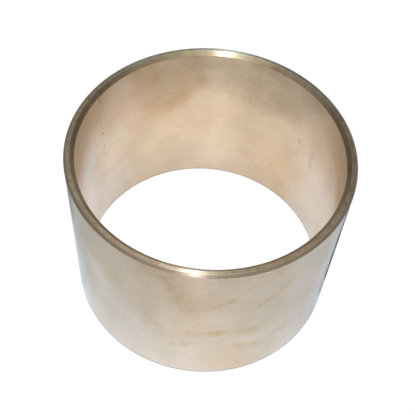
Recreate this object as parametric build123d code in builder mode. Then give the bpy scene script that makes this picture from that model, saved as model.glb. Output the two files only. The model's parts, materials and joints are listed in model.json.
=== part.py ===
from build123d import *
import os

# Thin-walled sleeve bushing, turned from one piece of bearing bronze.
# +Z runs along the bore. The origin is on the bore's axis at the lower end face.

# Driving dimensions, in millimetres
bore_diameter = 65.0
wall_thickness = 2.5
length = 50.0
bore_chamfer = 1.0
outer_chamfer = 0.6

outer_diameter = bore_diameter + 2 * wall_thickness

# The sleeve is a plain ring, with the same chamfers at both ends.
with BuildPart() as bushing_sleeve:
    with BuildSketch(Plane.XY) as ring:
        Circle(outer_diameter / 2)
        Circle(bore_diameter / 2, mode=Mode.SUBTRACT)
    extrude(amount=length)

    # Lead-in for the shaft: the smallest circles are the two mouths of the bore.
    bore_mouths = bushing_sleeve.edges().filter_by(GeomType.CIRCLE).group_by(SortBy.RADIUS)[0]
    chamfer(bore_mouths, length=bore_chamfer)

    # Lead-in for pressing into a housing: the largest circles are the two outer rims.
    outer_rims = bushing_sleeve.edges().filter_by(GeomType.CIRCLE).group_by(SortBy.RADIUS)[-1]
    chamfer(outer_rims, length=outer_chamfer)

os.makedirs("parts", exist_ok=True)
bushing_sleeve.part.label = "bushing_sleeve"
export_step(bushing_sleeve.part, "parts/bushing_sleeve.step")
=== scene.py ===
import json
import math

import bpy
from mathutils import Matrix, Vector


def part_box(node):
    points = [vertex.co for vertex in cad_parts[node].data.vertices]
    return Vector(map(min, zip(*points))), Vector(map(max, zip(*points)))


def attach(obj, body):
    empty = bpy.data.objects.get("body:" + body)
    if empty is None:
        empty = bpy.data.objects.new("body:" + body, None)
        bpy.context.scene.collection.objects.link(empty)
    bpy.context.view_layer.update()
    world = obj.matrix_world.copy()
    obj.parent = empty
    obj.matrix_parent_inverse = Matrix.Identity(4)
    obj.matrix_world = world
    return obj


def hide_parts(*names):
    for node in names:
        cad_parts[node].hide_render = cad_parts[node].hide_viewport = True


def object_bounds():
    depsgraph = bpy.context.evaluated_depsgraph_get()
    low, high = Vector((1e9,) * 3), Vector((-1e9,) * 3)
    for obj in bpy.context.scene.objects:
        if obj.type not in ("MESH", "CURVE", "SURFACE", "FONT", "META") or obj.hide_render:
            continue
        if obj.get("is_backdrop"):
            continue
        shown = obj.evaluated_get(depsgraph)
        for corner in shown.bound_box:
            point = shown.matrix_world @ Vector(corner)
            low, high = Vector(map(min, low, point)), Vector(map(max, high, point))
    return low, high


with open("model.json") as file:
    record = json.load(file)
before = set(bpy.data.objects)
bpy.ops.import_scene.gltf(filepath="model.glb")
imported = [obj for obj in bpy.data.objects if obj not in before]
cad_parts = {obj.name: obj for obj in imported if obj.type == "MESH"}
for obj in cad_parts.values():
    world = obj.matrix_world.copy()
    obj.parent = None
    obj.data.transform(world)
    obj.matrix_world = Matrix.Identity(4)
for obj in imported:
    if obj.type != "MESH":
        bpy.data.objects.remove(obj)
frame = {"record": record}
cad_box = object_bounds()

# ---------------------------------------------------------------- sizes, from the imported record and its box
MM = 0.001
mounts = {mount["name"]: mount for mount in frame["record"]["mounts"]}
box_low, box_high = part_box("bushing_sleeve")
LENGTH = box_high.z
OUTER_RADIUS = min(-box_low.x, -box_low.y, box_high.x, box_high.y)
BORE_RADIUS = mounts["bore"]["dims"]["r_mm"] * MM
OUTER_CHAMFER = (LENGTH - mounts["housing_seat"]["dims"]["length_mm"] * MM) / 2
BORE_CHAMFER = (LENGTH - mounts["bore"]["dims"]["length_mm"] * MM) / 2


# ---------------------------------------------------------------- shapes turned about the axis
def ring(radius, height, count):
    """Points round the axis."""
    turns = [math.tau * k / count for k in range(count)]
    return [(radius * math.cos(turn), radius * math.sin(turn), height) for turn in turns]


def band(row, next_row, count):
    """Faces between two rings whose first points have the numbers row and next_row."""
    return [(row + k, row + (k + 1) % count, next_row + (k + 1) % count, next_row + k) for k in range(count)]


def add_object(name, data):
    """A new object in the scene."""
    item = bpy.data.objects.new(name, data)
    bpy.context.scene.collection.objects.link(item)
    return item


# ---------------------------------------------------------------- the sleeve's own mesh
EDGE_RADIUS = 0.10 * MM     # each machined corner is broken by hand to a radius this small
EDGE_STEPS = 4
SEGMENTS = 512              # faces round the axis
ROWS = {"outside": 16, "bore": 16, "chamfer": 3, "bore_chamfer": 4, "end_face": 4}      # faces across each
ZONES = [*ROWS, "edge"]     # the kinds of surface, each with its own material


def section():
    """The corners round the wall's cross-section: radius, height, and zone of the run that starts there."""
    outer, bore, top = OUTER_RADIUS, BORE_RADIUS, LENGTH
    return [
        (outer, OUTER_CHAMFER, "outside"),
        (outer, top - OUTER_CHAMFER, "chamfer"),
        (outer - OUTER_CHAMFER, top, "end_face"),
        (bore + BORE_CHAMFER, top, "bore_chamfer"),
        (bore, top - BORE_CHAMFER, "bore"),
        (bore, BORE_CHAMFER, "bore_chamfer"),
        (bore + BORE_CHAMFER, 0.0, "end_face"),
        (outer - OUTER_CHAMFER, 0.0, "chamfer"),
    ]


def edge_setback(way_in, way_out):
    """How far from a corner its rounded edge starts."""
    return EDGE_RADIUS * math.tan(way_in.angle(way_out) / 2)


def lathe_profile():
    """Points round the section, each with its outward normal and the zone of the face after it."""
    corners = section()
    places = [Vector((radius, height)) for radius, height, _ in corners]
    points = []
    for i, (_, _, zone) in enumerate(corners):
        before, here, after, beyond = (places[(i + step) % len(places)] for step in (-1, 0, 1, 2))
        way_in = (here - before).normalized()
        way_out = (after - here).normalized()
        setback = edge_setback(way_in, way_out)
        next_setback = edge_setback(way_out, beyond - after)
        normal_in = Vector((way_in.y, -way_in.x))
        normal_out = Vector((way_out.y, -way_out.x))

        centre = here - way_in * setback - normal_in * EDGE_RADIUS
        for step in range(EDGE_STEPS):
            normal = normal_in.lerp(normal_out, step / EDGE_STEPS).normalized()
            points.append((centre + normal * EDGE_RADIUS, normal, "edge"))

        run_start = here + way_out * setback
        run_end = after - way_out * next_setback
        for row in range(ROWS[zone]):
            points.append((run_start.lerp(run_end, row / ROWS[zone]), normal_out, zone))
    return points


def make_sleeve(materials):
    """Turns the profile about the axis into one closed mesh with exact normals."""
    profile = lathe_profile()
    verts, normals, faces, zones = [], [], [], []
    for i, (point, normal, zone) in enumerate(profile):
        verts += ring(point.x, point.y, SEGMENTS)
        normals += ring(normal.x, normal.y, SEGMENTS)
        faces += band(i * SEGMENTS, (i + 1) % len(profile) * SEGMENTS, SEGMENTS)
        zones += [ZONES.index(zone)] * SEGMENTS
    mesh = bpy.data.meshes.new("turned_sleeve")
    mesh.from_pydata(verts, [], faces)
    for zone in ZONES:
        mesh.materials.append(materials[zone])
    mesh.polygons.foreach_set("material_index", zones)
    mesh.polygons.foreach_set("use_smooth", [True] * len(faces))
    mesh.normals_split_custom_set_from_vertices(normals)
    return add_object("turned_sleeve", mesh)


# ---------------------------------------------------------------- node trees
class Nodes:
    """Short calls for building one node tree. Colours are red, green and blue, without alpha."""

    def __init__(self, tree):
        self.tree = tree

    def put(self, node, name, value):
        """Links or sets one input, named by its label or by its number."""
        socket = node.inputs[int(name)] if name.isdigit() else node.inputs[name]
        if isinstance(value, bpy.types.NodeSocket):
            self.tree.links.new(value, socket)
        elif socket.type == "RGBA":
            socket.default_value = (*value, 1)
        else:
            socket.default_value = value

    def add(self, kind, settings=None, **inputs):
        """A node with its settings, and with its inputs linked or set. A space in a label is written as _."""
        node = self.tree.nodes.new(kind)
        for name, value in (settings or {}).items():
            setattr(node, name, value)
        for name, value in inputs.items():
            self.put(node, name.replace("_", " "), value)
        return node

    def math(self, operation, a, b=0.0, c=0.0, clamp=False):
        node = self.add("ShaderNodeMath", {"operation": operation, "use_clamp": clamp})
        for i, value in enumerate((a, b, c)):
            self.put(node, str(i), value)
        return node.outputs[0]

    def vector(self, operation, a, b=(0, 0, 0), out="Vector"):
        node = self.add("ShaderNodeVectorMath", {"operation": operation})
        self.put(node, "0", a)
        self.put(node, "Scale" if operation == "SCALE" else "1", b)
        return node.outputs[out]

    def length(self, vector):
        return self.vector("LENGTH", vector, out="Value")

    def mix(self, share, a, b, blend="MIX"):
        """Colour a where share is 0, and b, or a multiplied by b, where it is 1."""
        node = self.add("ShaderNodeMix", {"data_type": "RGBA", "blend_type": blend})
        for name, value in (("0", share), ("6", a), ("7", b)):      # the inputs for a share and two colours
            self.put(node, name, value)
        return node.outputs[2]

    def tint(self, share, colour, tint):
        """The colour, multiplied by the tint where share is 1."""
        return self.mix(share, colour, tint, "MULTIPLY")

    def noise(self, vector, scale, detail, roughness, out="Fac"):
        node = self.add("ShaderNodeTexNoise", Vector=vector, Scale=scale, Detail=detail, Roughness=roughness)
        return node.outputs[out]

    def ramp(self, value, low, high, to_low=0.0, to_high=1.0):
        """value from low..high to to_low..to_high, smooth and clamped."""
        node = self.add("ShaderNodeMapRange", {"interpolation_type": "SMOOTHSTEP"}, Value=value)
        for name, number in (("From Min", low), ("From Max", high), ("To Min", to_low), ("To Max", to_high)):
            self.put(node, name, number)
        return node.outputs["Result"]

    def bell(self, offset):
        """1 where offset is 0, falling off as a bell does."""
        return self.math("EXPONENT", self.math("MULTIPLY", self.math("MULTIPLY", offset, offset), -1.0))


# Noises on the metal: features per metre, detail, roughness.
CLOUDS = 75.0, 4.0, 0.6
GRAIN = 1500.0, 2.0, 0.6

# Noises that bend and fray the outlines of stains, each with the distance that it pushes them.
WAVES = (90.0, 2.0, 0.5), 5.0 * MM
FRAYS = (420.0, 3.0, 0.6), 1.6 * MM

# Rings of tool marks: features per metre round the axis, features per metre across the rings, detail.
FINE_RINGS = 25.0, 2600.0, 2.0
BROAD_RINGS = 12.0, 420.0, 3.0
RING_ROUGHNESS = 0.6
RADIUS_IN_RINGS = 0.37      # how much the radius counts beside the height, so that end faces have rings too

# Patterns: a noise, and the span of it that goes from none to all of the pattern. Where there are four
# numbers, the last two are the shares that it goes from and to.
GAPS = (300.0, 4.0, 0.65), (0.36, 0.60, 0.65, 1.0)          # along smears
THIN_PLACES = (170.0, 5.0, 0.65), (0.34, 0.62, 0.5, 1.0)    # in patches
OLIVE = (300.0, 4.0, 0.65), (0.46, 0.58)
BROWN = (560.0, 3.0, 0.6), (0.48, 0.60)
PURPLE = (420.0, 3.0, 0.6), (0.42, 0.68)


class Lathe:
    """Places and patterns on a turned part."""

    def __init__(self, n):
        self.n = n
        self.position = n.add("ShaderNodeTexCoord").outputs["Object"]
        self.x, self.y, self.z = n.add("ShaderNodeSeparateXYZ", Vector=self.position).outputs
        self.radius = n.length(n.add("ShaderNodeCombineXYZ", X=self.x, Y=self.y).outputs[0])

    def rings(self, around, across, detail):
        """Noise that is long round the axis and short across the tool marks."""
        n = self.n
        height = n.math("MULTIPLY_ADD", self.radius, RADIUS_IN_RINGS, self.z)
        place = n.add(
            "ShaderNodeCombineXYZ",
            X=n.math("MULTIPLY", self.x, around),
            Y=n.math("MULTIPLY", self.y, around),
            Z=n.math("MULTIPLY", height, across),
        ).outputs[0]
        return n.noise(place, 1.0, detail, RING_ROUGHNESS)

    def pattern(self, noise, span):
        return self.n.ramp(self.n.noise(self.position, *noise), *span)

    def unrolled(self, wall_radius, facing):
        """The wall laid flat, in metres, and the same pushed about, which makes ragged outlines.

        X goes along the wall, from the line that faces -Y (facing -1) or +Y (facing 1). Y goes up it.
        """
        n = self.n
        turn = n.math("ARCTAN2", self.x, n.math("MULTIPLY", self.y, facing))
        plain = n.add("ShaderNodeCombineXYZ", X=n.math("MULTIPLY", turn, wall_radius), Y=self.z).outputs[0]
        ragged = plain
        for noise, reach in (WAVES, FRAYS):
            push = n.vector("SUBTRACT", n.noise(self.position, *noise, "Color"), (0.5, 0.5, 0.5))
            ragged = n.vector("ADD", ragged, n.vector("SCALE", push, reach))
        return plain, ragged


def smear(n, place, start, end, half_width, soft):
    """1 within half_width of the line from start to end, fading away over soft like a bell."""
    run = end - start
    offset = n.vector("SUBTRACT", place, start)
    if run.length > 0:
        along = n.vector("DOT_PRODUCT", offset, run / run.length_squared, "Value")
        along = n.math("ADD", along, 0.0, clamp=True)
        nearest = n.vector("SCALE", n.add("ShaderNodeCombineXYZ", X=run.x, Y=run.y).outputs[0], along)
        offset = n.vector("SUBTRACT", offset, nearest)
    beyond = n.math("SUBTRACT", n.length(offset), half_width)
    return n.bell(n.math("DIVIDE", n.math("MAXIMUM", beyond, 0.0), soft))


def patch(n, place, middle, half_size, soft):
    """1 inside an ellipse, fading to 0 across its edge, where soft is a share of its size."""
    shape = n.vector("DIVIDE", n.vector("SUBTRACT", place, middle), (half_size.x, half_size.y, 1.0))
    return n.ramp(n.length(shape), 1.0 - soft, 1.0 + soft, 1.0, 0.0)


# ---------------------------------------------------------------- marks, painted light and painted shade on the metal
# Stains and patches on the walls, some of the patches painted light and shade. A place is degrees round from
# the wall's middle line (right is positive), and a share of the length up from the lower end. The outer
# wall's middle line is at -Y, and the bore's is at +Y.
# Smears and pits: from, to, half width and soft edge in millimetres, tint. Smears are ragged and have gaps.
# Patches: middle, half size, soft edge as a share of the size, tint. A patch with a tint above 1 is painted
# light, a reflection of the bright room that lightens the wall. Patches with a tint below 1 darken it, and
# the one on the outer wall's middle line is painted shade.
OUTSIDE_SMEARS = [
    ((-12, 0.95), (-3, 0.67), 0.5, 2.6, (0.85, 0.80, 0.72)),
    ((-20, 0.97), (-19, 0.50), 0.3, 3.2, (0.94, 0.90, 0.86)),
    ((4, 0.71), (13, 0.78), 0.12, 0.70, (0.95, 0.89, 0.79)),
    ((13, 0.78), (20, 0.87), 0.12, 0.65, (0.92, 0.85, 0.73)),
    ((20, 0.87), (31, 0.94), 0.10, 0.65, (0.94, 0.88, 0.78)),
    ((23, 0.68), (31, 0.75), 0.12, 0.80, (0.94, 0.88, 0.78)),
    ((31, 0.74), (36, 0.83), 0.10, 0.80, (0.96, 0.90, 0.82)),
    ((-0.5, 0.458), (9, 0.453), 0.40, 1.2, (0.93, 0.85, 0.71)),
    ((11, 0.445), (22, 0.455), 0.30, 1.6, (0.97, 0.91, 0.80)),
    ((-9.5, 0.32), (-2, 0.35), 0.40, 1.0, (0.89, 0.83, 0.74)),
    ((18, 0.30), (43, 0.30), 0.15, 0.8, (0.95, 0.91, 0.85)),
    ((17, 0.33), (28, 0.25), 0.20, 1.2, (0.96, 0.90, 0.82)),
]
OUTSIDE_PATCHES = [
    ((-5, 1.10), (50, 0.62), 0.60, (0.96, 0.91, 0.84)),
    ((-50, 0.79), (8, 0.08), 0.7, (0.93, 0.91, 0.86)),
    ((-36, 0.72), (7, 0.10), 0.7, (0.93, 0.91, 0.84)),
    ((-18, 0.80), (9, 0.25), 0.7, (0.96, 0.93, 0.89)),
    ((17, 0.12), (10, 0.20), 0.7, (1.02, 0.98, 0.92)),
    # Painted light: the next three patches lighten the wall as reflections of the bright room.
    ((24, 0.50), (16, 0.60), 0.6, (1.05, 1.03, 1.01)),
    ((-34, 0.48), (17, 0.66), 0.6, (1.05, 1.07, 1.11)),
    ((-57, 0.55), (14, 0.60), 0.6, (1.05, 1.08, 1.10)),
    # Painted shade: the patch below darkens the middle line of the outer wall, where the tube light leaves a
    # band.
    ((-3, 0.50), (11, 0.80), 0.6, (0.94, 0.935, 0.93)),
    ((-3, 0.69), (7, 0.28), 0.6, (0.95, 0.92, 0.87)),
    # Painted light: the last two patches lighten the wall as reflections of the bright room.
    ((46, 0.55), (9, 0.50), 0.6, (1.02, 1.05, 1.11)),
    ((14, 0.50), (9, 0.30), 0.6, (1.04, 1.04, 1.03)),
]
BORE_SMEARS = [
    ((-20, 0.62), (-12, 0.80), 0.8, 2.6, (0.95, 0.91, 0.86)),
    ((-75, 0.37), (-20, 0.34), 0.10, 1.2, (0.95, 0.95, 0.94)),
    ((55.5, 0.60), (56.5, 0.49), 0.15, 0.6, (0.83, 0.83, 0.84)),
    ((47, 0.54), (46, 0.50), 0.15, 0.5, (0.84, 0.84, 0.85)),
    ((47, 0.62), (47, 0.61), 0.20, 0.5, (0.83, 0.83, 0.84)),
    ((26, 0.63), (25, 0.63), 0.15, 0.5, (0.90, 0.88, 0.85)),
]
BORE_PITS = [
    ((-63.8, 0.99), (-63.5, 0.94), 0.08, 0.30, (0.72, 0.72, 0.73)),
    ((-64.3, 0.86), (-64.1, 0.85), 0.04, 0.18, (0.80, 0.80, 0.81)),
    ((-64.0, 0.79), (-63.8, 0.785), 0.05, 0.20, (0.69, 0.69, 0.70)),
    ((-63.0, 0.745), (-62.8, 0.738), 0.04, 0.18, (0.76, 0.76, 0.77)),
    ((-63.6, 0.70), (-62.9, 0.693), 0.06, 0.20, (0.61, 0.62, 0.63)),
    ((-63.0, 0.60), (-62.9, 0.585), 0.05, 0.20, (0.73, 0.73, 0.74)),
    ((-63.9, 0.57), (-63.7, 0.565), 0.04, 0.18, (0.76, 0.76, 0.77)),
    ((-63.2, 0.53), (-62.8, 0.515), 0.05, 0.20, (0.80, 0.80, 0.81)),
]
BORE_PATCHES = [
    ((21, 1.00), (37, 0.35), 0.12, (0.83, 0.84, 0.82)),
    ((-26, 0.86), (18, 0.30), 0.20, (0.92, 0.85, 0.78)),
    ((-35, 0.92), (9, 0.13), 0.6, (0.94, 0.88, 0.80)),
    ((-4, 0.93), (20, 0.20), 0.6, (0.90, 0.90, 0.90)),
    ((30, 0.30), (10, 0.22), 0.7, (1.0, 0.94, 0.85)),
    ((40, 0.10), (5, 0.09), 0.7, (0.97, 0.90, 0.81)),
    ((45, 0.38), (10, 0.18), 0.7, (0.98, 0.93, 0.90)),
    ((-54, 0.24), (20, 0.20), 0.7, (0.95, 0.97, 0.99)),
    # Painted light: the next six patches lighten the bore as reflections of the bright room.
    ((-36, 0.46), (24, 0.18), 0.6, (1.13, 1.06, 1.03)),
    ((-56, 0.70), (18, 0.22), 0.6, (1.20, 1.13, 1.13)),
    ((58, 0.70), (14, 0.20), 0.6, (1.12, 1.07, 1.05)),
    ((-82, 0.60), (9, 0.45), 0.6, (1.08, 1.12, 1.22)),
    ((-74, 0.50), (9, 0.24), 0.6, (1.02, 1.07, 1.10)),
    ((-32, 0.48), (16, 0.14), 0.6, (1.03, 1.07, 1.07)),
    ((9, 0.40), (15, 0.45), 0.6, (0.95, 0.94, 0.92)),
]

# Painted shade: both walls are greyer in a thin line above their lower chamfers, where they mirror the
# table's contact shadow.
OUTSIDE_FOOT_SHADE = (0.76, 0.84, 0.93)
BORE_FOOT_SHADE = (0.84, 0.89, 1.0)
FOOT_LINE = (0.55 * MM, 1.10 * MM)      # from full to none, up from the chamfer

# Painted light and shade that comes in along an axis: the places with none and all of the tint, as shares of
# a radius or of the length, and the tint.
OUTSIDE_SIDE_REFLECTION = (0.62, 1.0), (0.96, 1.0, 1.09)              # painted reflection: both walls are cooler towards -X and +X, where they are seen edge-on
BORE_SIDE_REFLECTION = (0.62, 1.0), (1.04, 1.12, 1.30)
BORE_TOP_SHADE = (0.60, 0.97), (0.84, 0.87, 0.89)                 # painted shade: the bore is darker towards its two mouths
BORE_LOW_SHADE = (0.36, 0.03), (0.91, 0.90, 0.885)
FACE_RIGHT_SHADE = (-0.5, 0.6), (0.78, 0.75, 0.73)                # painted shade: the end faces are darker towards +X
FACE_BACK_SHADE = (0.0, 0.75), (0.59, 0.70, 0.76)                 # and painted shade makes them greyer towards +Y
CHAMFER_BACK_SHADE = (0.45, 0.90), (0.77, 0.78, 0.78)             # painted shade: the outer chamfers are darker towards +Y
BORE_CHAMFER_BACK_HIGHLIGHT = (0.86, 0.99), (1.34, 1.42, 1.26)        # painted highlight: the bore's are brighter and yellower towards +Y, round the tube light's highlight
BORE_CHAMFER_FRONT_SHADE = (-0.35, -0.85), (0.72, 0.68, 0.66)     # and painted shade makes them browner towards -Y

OLIVE_TINT = (0.84, 0.90, 0.78)
BROWN_TINT = (0.92, 0.80, 0.72)
PURPLE_TINT = (0.90, 0.82, 0.83)


def stain_masks(n, lathe, wall_radius, facing, smears, pits, patches):
    """Where each stain, and each patch of painted light and shade, on a wall is, and its tint, one at a time.
    """
    plain, ragged = lathe.unrolled(wall_radius, facing)
    gaps = lathe.pattern(*GAPS)
    thin_places = lathe.pattern(*THIN_PLACES)

    def on_wall(turn, height):
        return Vector((math.radians(turn) * wall_radius, height * LENGTH, 0))

    for start, end, half_width, soft, tint in smears:
        mask = smear(n, ragged, on_wall(*start), on_wall(*end), half_width * MM, soft * MM)
        yield n.math("MULTIPLY", mask, gaps), tint
    for start, end, half_width, soft, tint in pits:
        yield smear(n, plain, on_wall(*start), on_wall(*end), half_width * MM, soft * MM), tint
    for middle, half_size, soft, tint in patches:
        mask = patch(n, ragged, on_wall(*middle), on_wall(*half_size), soft)
        yield n.math("MULTIPLY", mask, thin_places), tint


def stained(n, colour, masks):
    """The colour with stains and painted light and shade on it, and how much of the surface they cover."""
    cover = 0.0
    for mask, tint in masks:
        colour = n.tint(mask, colour, tint)
        cover = n.math("MAXIMUM", cover, mask)
    return colour, cover


def faded(n, colour, coordinate, size, fade):
    """The colour with a tint of painted light and shade that comes in along a coordinate, and how much of the
    tint is there.
    """
    (none, full), tint = fade
    share = n.ramp(coordinate, none * size, full * size)
    return n.tint(share, colour, tint), share


def wall_base(n, lathe, wall_radius, chamfer, colour, sides, foot_shade):
    """A wall's colour under its stains, with a painted reflection towards its sides and a painted shade line
    along its foot.
    """
    colour, _ = faded(n, colour, n.math("ABSOLUTE", lathe.x), wall_radius, sides)
    foot = n.ramp(lathe.z, chamfer + FOOT_LINE[0], chamfer + FOOT_LINE[1], 1.0, 0.0)
    return n.tint(foot, colour, foot_shade)


# Each of these takes the plain colour, and gives the colour with its marks and its painted light and shade,
# and how far the surface is rougher.
def outside_marks(n, lathe, colour):
    """The smears and patches on the outer wall, some of the patches painted light and shade, over a painted
    reflection towards its sides and a painted shade along its foot.
    """
    colour = wall_base(n, lathe, OUTER_RADIUS, OUTER_CHAMFER, colour, OUTSIDE_SIDE_REFLECTION, OUTSIDE_FOOT_SHADE)
    masks = stain_masks(n, lathe, OUTER_RADIUS, -1.0, OUTSIDE_SMEARS, [], OUTSIDE_PATCHES)
    return stained(n, colour, masks)


def bore_marks(n, lathe, colour):
    """The smears, pits and patches in the bore, some of the patches painted light, over painted shade at its
    mouths and along its foot and a painted reflection towards its sides.
    """
    colour = wall_base(n, lathe, BORE_RADIUS, BORE_CHAMFER, colour, BORE_SIDE_REFLECTION, BORE_FOOT_SHADE)
    colour, _ = faded(n, colour, lathe.z, LENGTH, BORE_TOP_SHADE)
    colour, _ = faded(n, colour, lathe.z, LENGTH, BORE_LOW_SHADE)
    masks = stain_masks(n, lathe, BORE_RADIUS, 1.0, BORE_SMEARS, BORE_PITS, BORE_PATCHES)
    return stained(n, colour, masks)


def face_marks(n, lathe, colour):
    """Blotches of olive and brown on the end faces, and painted shade that makes them darker towards +X and
    greyer towards +Y.
    """
    brown = lathe.pattern(*BROWN)
    colour = n.tint(lathe.pattern(*OLIVE), colour, OLIVE_TINT)
    colour = n.tint(brown, colour, BROWN_TINT)
    colour, _ = faded(n, colour, lathe.x, OUTER_RADIUS, FACE_RIGHT_SHADE)
    colour, _ = faded(n, colour, lathe.y, OUTER_RADIUS, FACE_BACK_SHADE)
    return colour, brown


def chamfer_marks(n, lathe, colour):
    """The outer chamfers only get painted shade towards the back."""
    return faded(n, colour, lathe.y, OUTER_RADIUS, CHAMFER_BACK_SHADE)


def bore_chamfer_marks(n, lathe, colour):
    """Purple blotches on the bore's chamfers, with a painted highlight towards +Y and painted shade towards
    -Y.
    """
    colour = n.tint(lathe.pattern(*PURPLE), colour, PURPLE_TINT)
    colour, _ = faded(n, colour, lathe.y, BORE_RADIUS, BORE_CHAMFER_BACK_HIGHLIGHT)
    return faded(n, colour, lathe.y, BORE_RADIUS, BORE_CHAMFER_FRONT_SHADE)


# ---------------------------------------------------------------- bronze
# Each is the span of a noise that counts, and what that span turns into.
CLOUD_SPAN = (0.36, 0.64)                   # from the light to the dark colour
BROAD_RING_SHADE = (0.3, 0.7, 0.97, 1.02)   # brightness
FINE_RING_SHADE = (0.2, 0.8, -0.025, 0.025)
GRAIN_SHADE = (0.3, 0.7, -0.03, 0.03)
UNEVEN_GLOSS = (0.3, 0.7, -0.02, 0.02)      # roughness

STAIN_ROUGHNESS = 0.04                      # stains and blotches are this much rougher
FINE_RING_HEIGHT = 0.6                      # beside the broad rings
RING_DEPTH = 0.01 * MM
RING_STRENGTH = 0.30
ALONG_THE_AXIS = 0.25                       # a quarter turn, which stretches highlights across the rings
GRAZING = (0.80, 0.84, 0.87)                # the metal's mirror at a glancing angle
DULL_GRAZING = (0.52, 0.55, 0.55)           # and the same on the outer chamfers
GLANCE = (0.80, 0.95)                       # how edge-on a surface is, where fine marks stop scattering light


def bronze(name, light, dark, roughness, anisotropy, marks=None, edge_on=1.0, grazing=GRAZING):
    """Turned bronze: clouds, rings of tool marks, grain, and the marks and painted light and shade of its own
    surface.

    edge_on is the share of its roughness that a surface keeps where it is seen edge-on.
    """
    material = bpy.data.materials.new(name)
    material.use_nodes = True
    n = Nodes(material.node_tree)
    shader = material.node_tree.nodes["Principled BSDF"]
    lathe = Lathe(n)

    clouds = n.noise(lathe.position, *CLOUDS)
    grain = n.noise(lathe.position, *GRAIN)
    fine_rings = lathe.rings(*FINE_RINGS)
    broad_rings = lathe.rings(*BROAD_RINGS)

    colour = n.mix(n.ramp(clouds, *CLOUD_SPAN), light, dark)
    shade = n.math("ADD", n.ramp(broad_rings, *BROAD_RING_SHADE), n.ramp(fine_rings, *FINE_RING_SHADE))
    shade = n.math("ADD", shade, n.ramp(grain, *GRAIN_SHADE))
    colour = n.vector("SCALE", colour, shade)
    cover = 0.0
    if marks:
        colour, cover = marks(n, lathe, colour)

    rough = n.math("ADD", n.ramp(broad_rings, *UNEVEN_GLOSS), n.ramp(clouds, *UNEVEN_GLOSS))
    rough = n.math("ADD", rough, roughness)
    rough = n.math("MULTIPLY_ADD", cover, STAIN_ROUGHNESS, rough)
    facing = n.add("ShaderNodeLayerWeight", Blend=0.5).outputs["Facing"]
    rough = n.math("MULTIPLY", rough, n.ramp(facing, *GLANCE, 1.0, edge_on))
    height = n.math("MULTIPLY_ADD", fine_rings, FINE_RING_HEIGHT, broad_rings)
    bump = n.add("ShaderNodeBump", Height=height, Strength=RING_STRENGTH, Distance=RING_DEPTH)

    n.put(shader, "Base Color", colour)
    n.put(shader, "Metallic", 1.0)
    n.put(shader, "Roughness", rough)
    n.put(shader, "Anisotropic", anisotropy)
    n.put(shader, "Anisotropic Rotation", ALONG_THE_AXIS)
    n.put(shader, "Specular Tint", grazing)
    n.put(shader, "Normal", bump.outputs[0])
    return material


materials = {
    "outside": bronze(
        "bronze_outside",
        light=(0.835, 0.715, 0.585),
        dark=(0.79, 0.67, 0.535),
        roughness=0.37,
        anisotropy=0.95,
        marks=outside_marks,
        edge_on=0.2,
    ),
    "bore": bronze(
        "bronze_bore",
        light=(0.91, 0.72, 0.515),
        dark=(0.87, 0.68, 0.475),
        roughness=0.37,
        anisotropy=0.95,
        marks=bore_marks,
    ),
    # Painted shade: the chamfers, end faces and edges below are the same bronze as the walls, given darker
    # base colours.
    "chamfer": bronze(
        "bronze_chamfer",
        light=(0.515, 0.415, 0.295),
        dark=(0.455, 0.36, 0.25),
        roughness=0.33,
        anisotropy=1.0,
        marks=chamfer_marks,
        grazing=DULL_GRAZING,
    ),
    "bore_chamfer": bronze(
        "bronze_bore_chamfer",
        light=(0.425, 0.35, 0.255),
        dark=(0.37, 0.30, 0.21),
        roughness=0.33,
        anisotropy=1.0,
        marks=bore_chamfer_marks,
    ),
    "end_face": bronze(
        "bronze_end_face",
        light=(0.655, 0.56, 0.435),
        dark=(0.59, 0.50, 0.38),
        roughness=0.33,
        anisotropy=1.0,
        marks=face_marks,
    ),
    "edge": bronze(
        "bronze_edge",
        light=(0.56, 0.47, 0.36),
        dark=(0.50, 0.41, 0.31),
        roughness=0.30,
        anisotropy=0.7,
    ),
}

sleeve = make_sleeve(materials)
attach(sleeve, "root")
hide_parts("bushing_sleeve")

# ---------------------------------------------------------------- studio: pale floor, soft light
# The camera sees an even white room. The metal sees a pale table that dims away from the sleeve, a dim room
# that brightens to the ceiling, and one long tube light, bent over the sleeve from the front to past the top.
STUDIO_RADIUS = 3.0
STAGE_SEGMENTS = 96
STAGE_CENTRE = 0.001 * MM               # stage surfaces start this close to the axis, with no visible hole
FLOOR_GAP = 0.02 * MM                   # the floor lies this far under the sleeve, so that they don't touch
WHITE = (1.05, 1.05, 1.05)

TABLE_NEAR = (1.10, 1.14, 1.20)
TABLE_FAR = (0.78, 0.79, 0.81)
TABLE_EDGE = (44 * MM, 90 * MM)         # from near to far, as distance from the axis
TABLE_SIDES = (0.90, 0.97, 1.03)        # the table is this much cooler out to the sides
TABLE_SIDE_REACH = 40 * MM

# Shades on the table: from, to, half width and soft edge in millimetres, then tint. The outer wall mirrors
# three at its left side, one at its right side, and four as a thin dark line there. The last is at the back.
TABLE_SHADES = [
    ((-36, -8), (-54, 18), 3, 4, (0.80, 0.76, 0.71)),
    ((-51, 10), (-56, 15), 3, 3.5, (0.74, 0.72, 0.68)),
    ((-62, -12), (-53, 35), 4, 10, (0.66, 0.66, 0.62)),
    ((35.5, -11), (62, 18), 4, 6, (0.76, 0.73, 0.71)),
    ((36.2, -6), (38.5, -2), 1.5, 1.8, (0.65, 0.65, 0.67)),
    ((38.2, -1), (40.8, 4), 1.4, 1.2, (0.24, 0.24, 0.28)),
    ((40.5, 4), (42.8, 9), 2.8, 1, (0.17, 0.17, 0.21)),
    ((43.5, 11), (47, 18), 3.8, 1.2, (0.24, 0.24, 0.28)),
    ((-60, 85), (60, 85), 20, 30, (0.28, 0.28, 0.27)),
]

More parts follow.
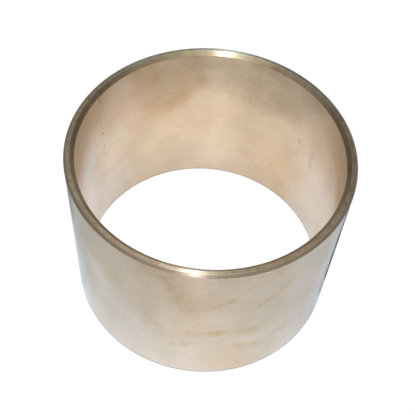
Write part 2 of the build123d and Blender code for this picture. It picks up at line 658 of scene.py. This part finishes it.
CEILING = (1.78, 1.74, 1.63)
CEILING_RISE = (0.52, 1.01)             # from the dim room to the ceiling, as the upward part of a direction
FLOOR_LEVEL_LIGHT = 0.09
DARK_CEILING = (0.0, 0.477, 0.879), 0.61, 0.93      # high at the back: direction, angle, share it takes
WINDOW = (0.0, 0.996, 0.087), 0.524, 0.56           # low at the back: direction, angle, light it adds

# The tube's pieces: elevation from the front in degrees, and radiance.
TUBE = [(39, 4.6), (50, 8.0), (61, 12.0), (72, 17.0), (83, 17.0), (94, 14.0), (103, 6.5)]
TUBE_COLOUR = (0.93, 1.0, 1.20)
TUBE_DISTANCE = 0.8
TUBE_OFFSET = -0.044                    # how far to the side it is, as a share of its distance
TUBE_WIDTH = 0.056
TUBE_PIECE = 0.16                       # length of each piece, which is enough to meet the next one


def glowing(name):
    """A material that only shines, its node tree, and the emission shader in it."""
    material = bpy.data.materials.new(name)
    material.use_nodes = True
    material.node_tree.nodes.clear()
    n = Nodes(material.node_tree)
    shine = n.add("ShaderNodeEmission")
    n.add("ShaderNodeOutputMaterial", Surface=shine.outputs[0])
    return material, n, shine


def stage_mesh(name, material, rims):
    """A surface turned from (radius, height) rims, as a part of the stage."""
    verts, faces = [], []
    for row, (radius, height) in enumerate(rims):
        if row > 0:
            faces += band((row - 1) * STAGE_SEGMENTS, row * STAGE_SEGMENTS, STAGE_SEGMENTS)
        verts += ring(radius, height, STAGE_SEGMENTS)
    mesh = bpy.data.meshes.new(name)
    mesh.from_pydata(verts, [], faces)
    mesh.materials.append(material)
    item = add_object(name, mesh)
    item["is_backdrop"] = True
    return item


def area_light(name, place, aim, width, depth, radiance):
    """A soft rectangular light. Its depth lies in the plane of Y and the way it faces, its width across."""
    data = bpy.data.lights.new(name, "AREA")
    data.shape = "RECTANGLE"
    data.size = width
    data.size_y = depth
    data.energy = radiance * math.pi * width * depth
    data.color = TUBE_COLOUR
    facing = (place - aim).normalized()
    sideways = Vector((0, 1, 0)).cross(facing).normalized()
    axes = Matrix((sideways, facing.cross(sideways), facing)).transposed()
    light = add_object(name, data)
    light.matrix_world = Matrix.Translation(place) @ axes.to_4x4()


def towards(n, direction, way, spread):
    """1 in the given direction, falling off like a bell with the angle from it."""
    cosine = n.vector("DOT_PRODUCT", direction, way, "Value")
    angle = n.math("ARCCOSINE", n.math("MINIMUM", cosine, 1.0))
    return n.bell(n.math("DIVIDE", angle, spread))


def make_room():
    """What the camera sees: an even white floor and wall, which nothing mirrors."""
    material, n, shine = glowing("room_white")
    n.put(shine, "Color", WHITE)
    rims = [(STAGE_CENTRE, -FLOOR_GAP), (STUDIO_RADIUS, -FLOOR_GAP), (STUDIO_RADIUS, STUDIO_RADIUS)]
    room = stage_mesh("room", material, rims)
    for kind_of_ray in ("glossy", "diffuse", "transmission", "shadow"):
        setattr(room, "visible_" + kind_of_ray, False)


def make_table():
    """What the metal mirrors below it, hidden from the camera."""
    material, n, shine = glowing("table_pale")
    lathe = Lathe(n)
    tone = n.mix(n.ramp(lathe.radius, *TABLE_EDGE), TABLE_NEAR, TABLE_FAR)
    to_the_side = n.ramp(n.math("ABSOLUTE", lathe.x), 0.0, TABLE_SIDE_REACH)
    tone = n.tint(to_the_side, tone, TABLE_SIDES)
    for start, end, half_width, soft, tint in TABLE_SHADES:
        start, end = (Vector((*place, 0)) * MM for place in (start, end))
        tone = n.tint(smear(n, lathe.position, start, end, half_width * MM, soft * MM), tone, tint)
    n.put(shine, "Color", tone)
    table = stage_mesh("table", material, [(STAGE_CENTRE, -2 * FLOOR_GAP), (STUDIO_RADIUS, -2 * FLOOR_GAP)])
    table.visible_camera = False


def make_tube():
    """The long light, as flat pieces set round an arc."""
    centre = Vector((0, 0, LENGTH / 2))
    for elevation, radiance in TUBE:
        angle = math.radians(elevation)
        way = Vector((TUBE_OFFSET, -math.cos(angle), math.sin(angle))).normalized()
        place = centre + way * TUBE_DISTANCE
        area_light("tube_%d" % elevation, place, centre, TUBE_WIDTH, TUBE_PIECE, radiance)


def make_world():
    """The rest of the room: dim at floor level, a bright ceiling with a dark part, and a window."""
    world = bpy.data.worlds.new("studio")
    world.use_nodes = True
    n = Nodes(world.node_tree)
    direction = n.add("ShaderNodeTexCoord").outputs["Generated"]
    upward = n.add("ShaderNodeSeparateXYZ", Vector=direction).outputs[2]
    light = n.ramp(upward, *CEILING_RISE)
    way, spread, depth = DARK_CEILING
    light = n.math("MULTIPLY", light, n.math("MULTIPLY_ADD", towards(n, direction, way, spread), -depth, 1.0))
    way, spread, strength = WINDOW
    light = n.math("MULTIPLY_ADD", towards(n, direction, way, spread), strength, light)
    background = world.node_tree.nodes["Background"]
    n.put(background, "Color", CEILING)
    n.put(background, "Strength", n.math("ADD", light, FLOOR_LEVEL_LIGHT))
    bpy.context.scene.world = world


make_room()
make_table()
make_tube()
make_world()
bpy.context.scene.view_settings.view_transform = "Standard"

# ---------------------------------------------------------------- camera
CAMERA_ELEVATION = math.radians(54.68)
CAMERA_DISTANCE = 5.886 * OUTER_RADIUS
CAMERA_TARGET = Vector((0.2 * MM, 0, 0.5221 * LENGTH))
CAMERA_ROLL = math.radians(5.1)
CAMERA_LENS = 68.1
CAMERA_SENSOR = 36.0
CAMERA_NEAREST = 0.01       # nothing closer than this is seen

camera_data = bpy.data.cameras.new("camera")
camera_data.lens = CAMERA_LENS
camera_data.sensor_width = CAMERA_SENSOR
camera_data.clip_start = CAMERA_NEAREST
camera = add_object("camera", camera_data)
backward = Vector((0, -math.cos(CAMERA_ELEVATION), math.sin(CAMERA_ELEVATION)))
level = backward.to_track_quat("Z", "Y").to_matrix()
camera.location = CAMERA_TARGET + backward * CAMERA_DISTANCE
camera.rotation_euler = (level @ Matrix.Rotation(CAMERA_ROLL, 3, "Z")).to_euler()
bpy.context.scene.camera = camera

boxes = {"cad": cad_box, "visual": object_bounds()}
{name: [list(corner) for corner in box] for name, box in boxes.items()}
